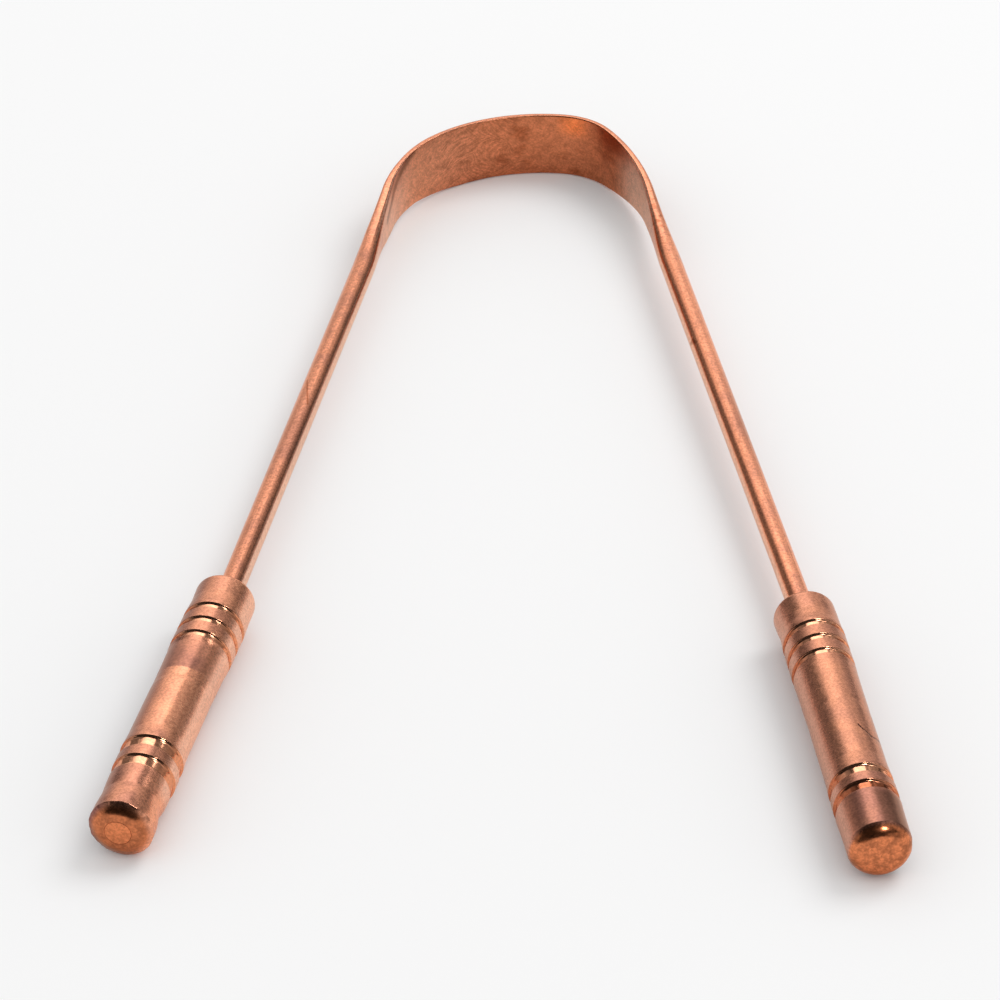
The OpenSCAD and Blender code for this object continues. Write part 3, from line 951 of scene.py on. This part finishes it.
def rod_copper():
    """Drawn copper on the arms and oxidised copper on the strip's inner face, both with painted light
    and shade
    """
    m = Shader("rod_copper")
    drawn = m.attribute("drawn").outputs["Vector"]
    inner = m.attribute("inner").outputs["Fac"]
    out, up, along = m.parts(drawn)
    grain = m.lumps(drawn, *ROD_GRAIN_LUMPS)
    stains = m.lumps(drawn, *ROD_STAIN_LUMPS)
    lines = m.lumps(drawn, *ROD_LINE_LUMPS)
    pebbles = m.lumps(drawn, *ROD_PEBBLE_LUMPS)
    mottle = m.lumps(drawn, *ROD_MOTTLE_LUMPS)
    swirl = m.swirls(along, up)

    arm = arm_tone(m, out, up, along, stains, lines, pebbles)
    tone = m.mix(inner, arm, strip_tone(m, up, along, stains, swirl, mottle, grain))
    tone = m.mix(m.outside(along, LEFT_TIP_AT + TIP_L, RIGHT_TIP_AT - TIP_L), tone, ORANGE)
    tone = m.scaled(tone, m.window(grain, *ROD_GRAIN_RANGE))
    rough = m.math("ADD", m.window(grain, *ROD_ROUGH_RANGE), m.times(inner, STRIP_ROUGHER))
    fine = m.bump(lines, ROD_LINE_HEIGHT)
    normal = m.bump(m.times_plus(swirl, inner, grain), ROD_GRAIN_HEIGHT, fine)
    return m.copper(tone, rough, normal)


# The grips: noises of their metal, seen from the axis as right, up and along
GRIP_GRAIN_LUMPS = ((3.6, 3.6, 3.6), 2)
GRIP_STAIN_LUMPS = ((0.4, 0.4, 0.3), 3, (9, 2, 5))
GRIP_MOTTLE_LUMPS = ((1.1, 1.1, 1.1), 4, (2, 8, 1))
TURNED_LUMPS = ((0.25, 0.25, 9), 3, (0, 0, 0), 0.7)
BRUSHED_LUMPS = ((6, 1.3, 1.3), 2)
# The tarnish is painted thinner towards the right side, as a lit side, and the stains add to it or
# take from it
LIT_SIDE_RANGE = (0.6, 2.2, 1, 0.4)
GRIP_STAIN_RANGE = (0.3, 0.7, -0.25, 0.25)
# The left grip's right edge, painted pale as a reflection of the floor, up to its end
LEFT_EDGE_REFLECTION_RANGE = (2.2, 3.2, 0, 0.5)
LEFT_EDGE_REFLECTION_ALONG_RANGE = (35.5, 37.5, 1, 0)
# The right grip's right side painted mauve and its end painted dull, as shade, and its two edges
# painted mauve as reflections
RIGHT_SIDE_SHADE_RANGE = (0.6, 1.8, 0, 0.6)
DULL_SHADE_ALONG_RANGE = (35, 36)
DULL_SHADE_RANGE = (-0.4, 0.8, 0, 0.95)
RIGHT_EDGE_REFLECTIONS_RANGE = (2.5, 3.3, 0, 0.7)
# The grooves are painted redder on the left and orange on the right, and redder all round at the
# right grip's second outer groove, painted reflections of copper in copper
GROOVE_REFLECTION_RED_RANGE = (-1.4, -2.9)
GROOVE_REFLECTION_ORANGE_RANGE = (1.4, 2.9, 0, 0.6)
COPPER_REFLECTION_SPOT = (34.4, 1.4)
# The crack on the right grip, as (turn from the top in degrees, distance from the inner face),
# with its core and reach, the noise that it strays by and how far, and its depth in metres
BARREL_R = 3.37
CRACK_PATH = [(15, 24.75), (22, 25.45), (36, 26.35), (50, 26.15), (70, 25.75)]
CRACK_WIDTHS = (0.07, 0.16)
CRACK_STRAY_LUMPS = ((2.2, 2.2, 2.2), 3)
CRACK_STRAY = 0.9
CRACK_DEPTH = 0.00003
# Grain, roughness and the height of the marks, in metres, of which those on the end are larger
GRIP_GRAIN_RANGE = (0.3, 0.7, 0.8, 1.15)
GRIP_ROUGH_RANGE = (0.3, 0.7, 0.23, 0.27)
TARNISH_ROUGHER = 0.05
END_ROUGHER = -0.07
GROOVE_ROUGHER = -0.14
TURNED_HEIGHT = 0.000001
GRIP_GRAIN_HEIGHT = 0.0000008
END_MOTTLE_TIMES = 2
END_MARKS_TIMES = 5


def skin_tone(m, side, x, s, tarnish, stains):
    """Turned copper outside the grooves: clean metal at a painted lit level, mauve tarnish painted
    thinner on the lit right side, painted shade on the left flank and on the right grip's side and
    end, and painted reflections on the edges
    """
    # Painted light: the tarnish thins towards the right side
    lit_side = m.window(x, *LIT_SIDE_RANGE)
    tarnish_and_lit_side = m.times_plus(tarnish, lit_side, m.window(stains, *GRIP_STAIN_RANGE))
    tone = m.mix(tarnish_and_lit_side, side["lit_metal"], MAUVE)
    # Painted shade on the left flank
    tone = m.mix(m.window(x, *side["painted_shade_flank_range"]), tone, side["painted_shade_flank"])
    if side is LEFT:
        # Painted reflection on the left grip's right edge
        edge_reflection = m.times(m.window(x, *LEFT_EDGE_REFLECTION_RANGE), m.window(s, *LEFT_EDGE_REFLECTION_ALONG_RANGE))
        return m.mix(edge_reflection, tone, EDGE_REFLECTION)
    # Painted shade on the right grip's right side and end, and painted reflections on its edges
    tone = m.mix(m.window(x, *RIGHT_SIDE_SHADE_RANGE), tone, MAUVE)
    shaded_end = m.times(m.window(s, *DULL_SHADE_ALONG_RANGE), m.window(x, *DULL_SHADE_RANGE))
    tone = m.mix(shaded_end, tone, DULL_SHADE)
    return m.mix(m.window(m.math("ABSOLUTE", x), *RIGHT_EDGE_REFLECTIONS_RANGE), tone, MAUVE_EDGE_REFLECTION)


def groove_tone(m, side, x, s):
    """The brighter metal in the grooves, with painted reflections of copper in copper, redder and
    more orange by side
    """
    tone = m.mix(m.window(x, *GROOVE_REFLECTION_RED_RANGE), CUT, COPPER_REFLECTION_RED)
    tone = m.mix(m.window(x, *GROOVE_REFLECTION_ORANGE_RANGE), tone, ORANGE)
    if side is RIGHT:
        tone = m.mix(m.bell(s, *COPPER_REFLECTION_SPOT), tone, COPPER_REFLECTION_RED)
    return tone


def crack(m, lathe, x, y, s):
    """1 in the crack on the barrel, which strays a little from its path"""
    turn = m.math("ARCTAN2", x, y)
    strayed = m.times_plus(m.lumps(lathe, *CRACK_STRAY_LUMPS), CRACK_STRAY, s)
    on_skin = m.joined(m.times(turn, BARREL_R), strayed)
    path = [(math.radians(turned) * BARREL_R, at) for turned, at in CRACK_PATH]
    return m.along_path(on_skin, path, *CRACK_WIDTHS)


def grip_copper(name, side):
    """Turned copper: fine rings round the axis, tarnish, painted light and shade by side, bright
    grooves with painted reflections and an orange end
    """
    m = Shader(name)
    lathe = m.attribute("lathe").outputs["Vector"]
    groove = m.attribute("groove").outputs["Fac"]
    tarnish = m.attribute("tarnish").outputs["Fac"]
    end = m.attribute("end").outputs["Fac"]
    x, y, s = m.parts(lathe)
    grain = m.lumps(lathe, *GRIP_GRAIN_LUMPS)
    stains = m.lumps(lathe, *GRIP_STAIN_LUMPS)
    mottle = m.lumps(lathe, *GRIP_MOTTLE_LUMPS)
    turned = m.lumps(lathe, *TURNED_LUMPS)
    brushed = m.lumps(lathe, *BRUSHED_LUMPS)

    face = m.mix(m.window(mottle, *side["face_range"]), ORANGE, BROWN)
    tone = m.mix(end, skin_tone(m, side, x, s, tarnish, stains), face)
    tone = m.mix(groove, tone, groove_tone(m, side, x, s))
    rough = m.times_plus(tarnish, TARNISH_ROUGHER, m.window(grain, *GRIP_ROUGH_RANGE))
    rough = m.times_plus(end, END_ROUGHER, rough)
    rough = m.times_plus(groove, GROOVE_ROUGHER, rough)
    filed = m.times(m.times_plus(mottle, END_MOTTLE_TIMES, brushed), end)
    fine = m.bump(turned, TURNED_HEIGHT)
    normal = m.bump(m.times_plus(filed, END_MARKS_TIMES, grain), GRIP_GRAIN_HEIGHT, fine)
    if side is RIGHT:
        cracked = crack(m, lathe, x, y, s)
        tone = m.mix(cracked, tone, CRACK)
        normal = m.bump(m.math("SUBTRACT", 1, cracked), CRACK_DEPTH, normal)
    return m.copper(m.scaled(tone, m.window(grain, *GRIP_GRAIN_RANGE)), rough, normal)


# Studio

# Lengths in metres. The floor lies just under the object, and the cards on a dome round it
FLOOR_SIZE = 6
FLOOR_DROP = 0.00005
FLOOR_ALBEDO = 0.93
WORLD_PLAIN = 0.82
CENTRE = Vector((0, 0, 0.004))
CARD_R = 1.6
# Degrees between a card's points
CARD_STEP = 4
KEY_AT = (0.84, 0.70, 1.30)
KEY_SIZE = 1
KEY_WATTS = 8
CLIP_FROM = 0.01

# Each card's azimuths, elevations, radiance and how much nearer than the dome it is. Azimuth 0 is
# behind the object and 90 on its right. A large softbox and pale walls stand behind, a grey wall
# before the object, dark flags beside, over and before it, and two fills and two small lamps on
# its right
CARDS = {
    "softbox_low": ((-30, 18), (26, 39), 1.15),
    "softbox_middle": ((-30, 17), (39, 46), 1.8),
    "softbox_high": ((-30, 17), (46, 60), 2.4),
    "softbox_side": ((18, 30), (26, 42), 0.85),
    "back_wall": ((-33, 30), (-1, 26), 0.85),
    "right_wall": ((30, 34), (-1, 26), 0.5),
    "right_shade": ((34, 64), (1, 28), 0.28),
    "right_flag": ((40, 47), (9, 18), 0.05, 0.1),
    "left_flag": ((-50, -33), (2, 30), 0.19),
    "left_wall": ((-62, -50), (-1, 30), 0.6),
    "upper_left": ((-62, -30), (30, 42), 0.25),
    "upper_left_flag": ((-62, -30), (42, 60), 0.06),
    "upper_right": ((30, 62), (28, 42), 0.3),
    "upper_right_flag": ((17, 62), (42, 60), 0.2),
    "overhead_flag": ((-180, 180), (60, 90), 0.03),
    "camera_flag": ((62, 298), (24, 60), 0.03),
    "camera_low_flag": ((150, 242), (5, 24), 0.03, 0.05),
    "camera_wall": ((62, 298), (1, 24), 0.45),
    "right_fill": ((64, 102), (10, 78), 0.5, 0.1),
    "high_fill": ((102, 135), (50, 78), 0.4, 0.1),
    "side_lamp": ((49, 62), (42, 54), 7, 0.15),
    "front_lamp": ((132, 149), (50, 62), 26, 0.15),
}


def make_floor():
    mesh = bpy.data.meshes.new("floor")
    half = FLOOR_SIZE / 2
    corners = [(-half, -half), (half, -half), (half, half), (-half, half)]
    mesh.from_pydata([(x, y, -FLOOR_DROP) for x, y in corners], [], [(0, 1, 2, 3)])
    floor = placed("floor", mesh)
    m = Shader("pale_floor")
    m.surface.inputs["Base Color"].default_value = (FLOOR_ALBEDO,) * 3 + (1,)
    m.surface.inputs["Roughness"].default_value = 1
    m.surface.inputs["Specular IOR Level"].default_value = 0
    mesh.materials.append(m.material)


def make_card(name, azimuths, elevations, radiance, nearer=0):
    """A patch of the dome round the object, which only its reflections see"""
    across = max(2, round((azimuths[1] - azimuths[0]) / CARD_STEP) + 1)
    high = max(2, round((elevations[1] - elevations[0]) / CARD_STEP) + 1)
    vertices, faces = [], []
    for elevation in np.radians(np.linspace(*elevations, high)):
        for azimuth in np.radians(np.linspace(*azimuths, across)):
            level = math.cos(elevation)
            towards = (level * math.sin(azimuth), level * math.cos(azimuth), math.sin(elevation))
            vertices.append(CENTRE + Vector(towards) * (CARD_R - nearer))
    for i in range(high - 1):
        for j in range(across - 1):
            a = i * across + j
            faces.append((a, a + 1, a + across + 1, a + across))
    mesh = bpy.data.meshes.new(name)
    mesh.from_pydata(vertices, [], faces)
    card = placed(name, mesh)
    material = bpy.data.materials.new(name)
    material.use_nodes = True
    tree = material.node_tree
    tree.nodes.clear()
    emission = tree.nodes.new("ShaderNodeEmission")
    emission.inputs["Strength"].default_value = radiance
    output = tree.nodes.new("ShaderNodeOutputMaterial")
    tree.links.new(emission.outputs[0], output.inputs["Surface"])
    mesh.materials.append(material)
    for kind in ("camera", "diffuse", "shadow", "transmission", "volume_scatter"):
        setattr(card, "visible_" + kind, False)


def make_world():
    """White to the camera and in reflections, and a little dimmer as light"""
    world = bpy.data.worlds.new("studio")
    bpy.context.scene.world = world
    world.use_nodes = True
    tree = world.node_tree
    background = tree.nodes["Background"]
    background.inputs["Color"].default_value = (1, 1, 1, 1)
    path = tree.nodes.new("ShaderNodeLightPath")
    level = tree.nodes.new("ShaderNodeMapRange")
    level.inputs["To Min"].default_value = WORLD_PLAIN
    seen = path.outputs["Is Camera Ray"]
    for kind in ("Is Glossy Ray", "Is Transmission Ray"):
        larger = tree.nodes.new("ShaderNodeMath")
        larger.operation = "MAXIMUM"
        tree.links.new(seen, larger.inputs[0])
        tree.links.new(path.outputs[kind], larger.inputs[1])
        seen = larger.outputs[0]
    tree.links.new(seen, level.inputs["Value"])
    tree.links.new(level.outputs["Result"], background.inputs["Strength"])


def make_key():
    """A large soft lamp for the floor's light and the object's shadow"""
    lamp = bpy.data.lights.new("key", "AREA")
    lamp.shape = "DISK"
    lamp.size = KEY_SIZE
    lamp.energy = KEY_WATTS
    key = placed("key", lamp)
    key.location = KEY_AT
    key.rotation_euler = (CENTRE - key.location).to_track_quat("-Z", "Y").to_euler()
    key.visible_glossy = False


def make_camera():
    elevation = math.radians(CAMERA_ELEVATION)
    back = Vector((0, -math.cos(elevation), math.sin(elevation)))
    data = bpy.data.cameras.new("camera")
    data.sensor_width = SENSOR_MM
    data.lens = FOCAL_PX / PHOTO_PX * SENSOR_MM
    data.clip_start = CLIP_FROM
    camera = placed("camera", data)
    camera.location = Vector(LOOK_AT) * MM + back * CAMERA_DISTANCE * MM
    camera.rotation_euler = (-back).to_track_quat("-Z", "Y").to_euler()
    bpy.context.scene.camera = camera


def dress(piece, node, material):
    piece.data.materials.append(material)
    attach(piece, "root")
    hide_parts(node)


dress(make_rod(), "scraper_rod", rod_copper())
left = make_grip("left_handle", "left_grip", LEFT, LEFT_ELBOW, LEFT_GRIP_HEADING)
dress(left, "left_grip", grip_copper("left_grip_copper", LEFT))
right = make_grip("right_handle", "right_grip", RIGHT, RIGHT_ELBOW, RIGHT_GRIP_HEADING)
dress(right, "right_grip", grip_copper("right_grip_copper", RIGHT))

make_camera()
make_floor()
for name, settings in CARDS.items():
    make_card(name, *settings)
make_key()
make_world()
bpy.context.scene.view_settings.view_transform = "Standard"
